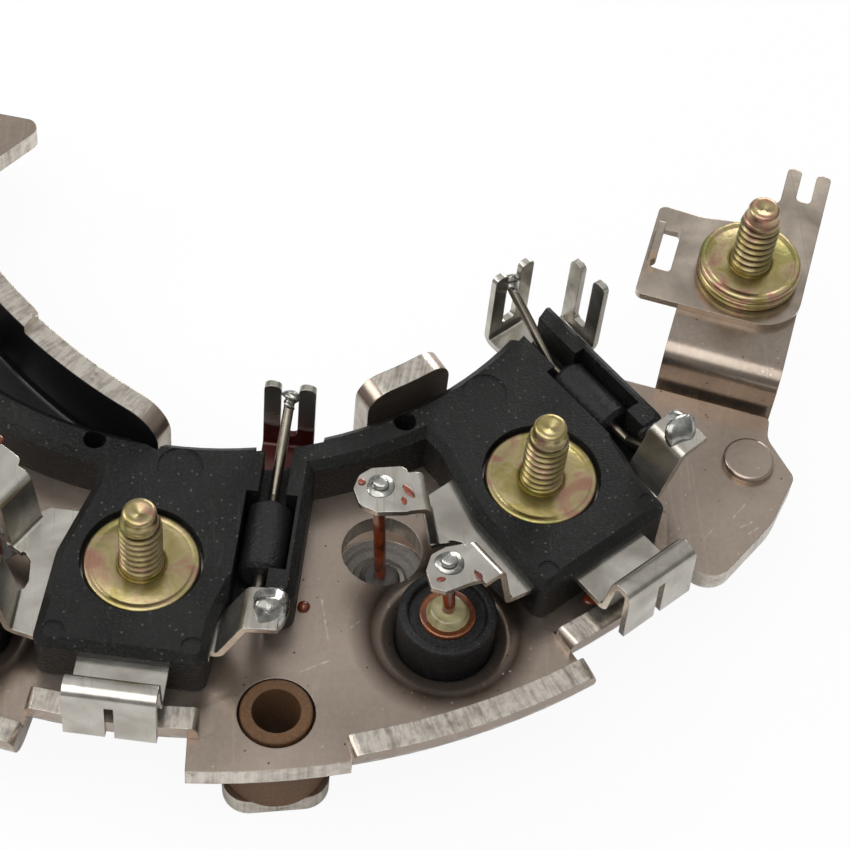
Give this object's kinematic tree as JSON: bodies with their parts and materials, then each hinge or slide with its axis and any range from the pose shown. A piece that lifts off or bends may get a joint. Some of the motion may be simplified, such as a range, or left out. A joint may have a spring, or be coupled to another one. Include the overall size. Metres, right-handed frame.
{
  "type": "alternator rectifier",
  "caption": "Horseshoe alternator rectifier: two nickel-plated heat-sink plates, black moulded terminal block, press-fit diodes, tinned busbars, zinc studs and a raised output terminal.",
  "frame": {"origin": "shaft axis at the underside of the negative plate", "axes": "+Z along the shaft towards the studs, +X towards the output terminal, +Y from the module side towards the horseshoe's open side"},
  "size_m": [0.1585, 0.1061, 0.0325],
  "materials": {
    "plated_steel": "satin",
    "black_moulding": "matte",
    "tinned_metal": "satin",
    "yellow_zinc": "satin",
    "black_diode": "satin",
    "plain_diode": "satin",
    "copper_seal": "satin",
    "varnished_lead": "gloss",
    "brown_insulator": "matte"
  },
  "bodies": {
    "root": {"positive_plate": "plated_steel", "negative_plate": "plated_steel", "terminal_block": "black_moulding", "collector_strip": "tinned_metal", "phase_busbar_1": "tinned_metal", "phase_stud_1": "yellow_zinc", "stud_washer_1": "yellow_zinc", "positive_diode_1": "black_diode", "positive_seal_1": "copper_seal", "positive_lead_1": "varnished_lead", "negative_diode_1": "plain_diode", "negative_seal_1": "copper_seal", "negative_lead_1": "varnished_lead", "exciter_diode_1": "black_diode", "exciter_leads_1": "tinned_metal", "phase_busbar_2": "tinned_metal", "phase_stud_2": "yellow_zinc", "stud_washer_2": "yellow_zinc", "positive_diode_2": "black_diode", "positive_seal_2": "copper_seal", "positive_lead_2": "varnished_lead", "negative_diode_2": "plain_diode", "negative_seal_2": "copper_seal", "negative_lead_2": "varnished_lead", "exciter_diode_2": "black_diode", "exciter_leads_2": "tinned_metal", "phase_busbar_3": "tinned_metal", "phase_stud_3": "yellow_zinc", "stud_washer_3": "yellow_zinc", "positive_diode_3": "black_diode", "positive_seal_3": "copper_seal", "positive_lead_3": "varnished_lead", "negative_diode_3": "plain_diode", "negative_seal_3": "copper_seal", "negative_lead_3": "varnished_lead", "exciter_diode_3": "black_diode", "exciter_leads_3": "tinned_metal", "output_bracket": "plated_steel", "output_fork_plate": "tinned_metal", "output_stud": "yellow_zinc", "output_washer_1": "yellow_zinc", "output_washer_2": "yellow_zinc", "bracket_rivet_1": "plated_steel", "bracket_rivet_2": "plated_steel", "mounting_bush_1": "brown_insulator", "mounting_bush_2": "brown_insulator", "mounting_bush_3": "brown_insulator"}
  },
  "joints": []
}
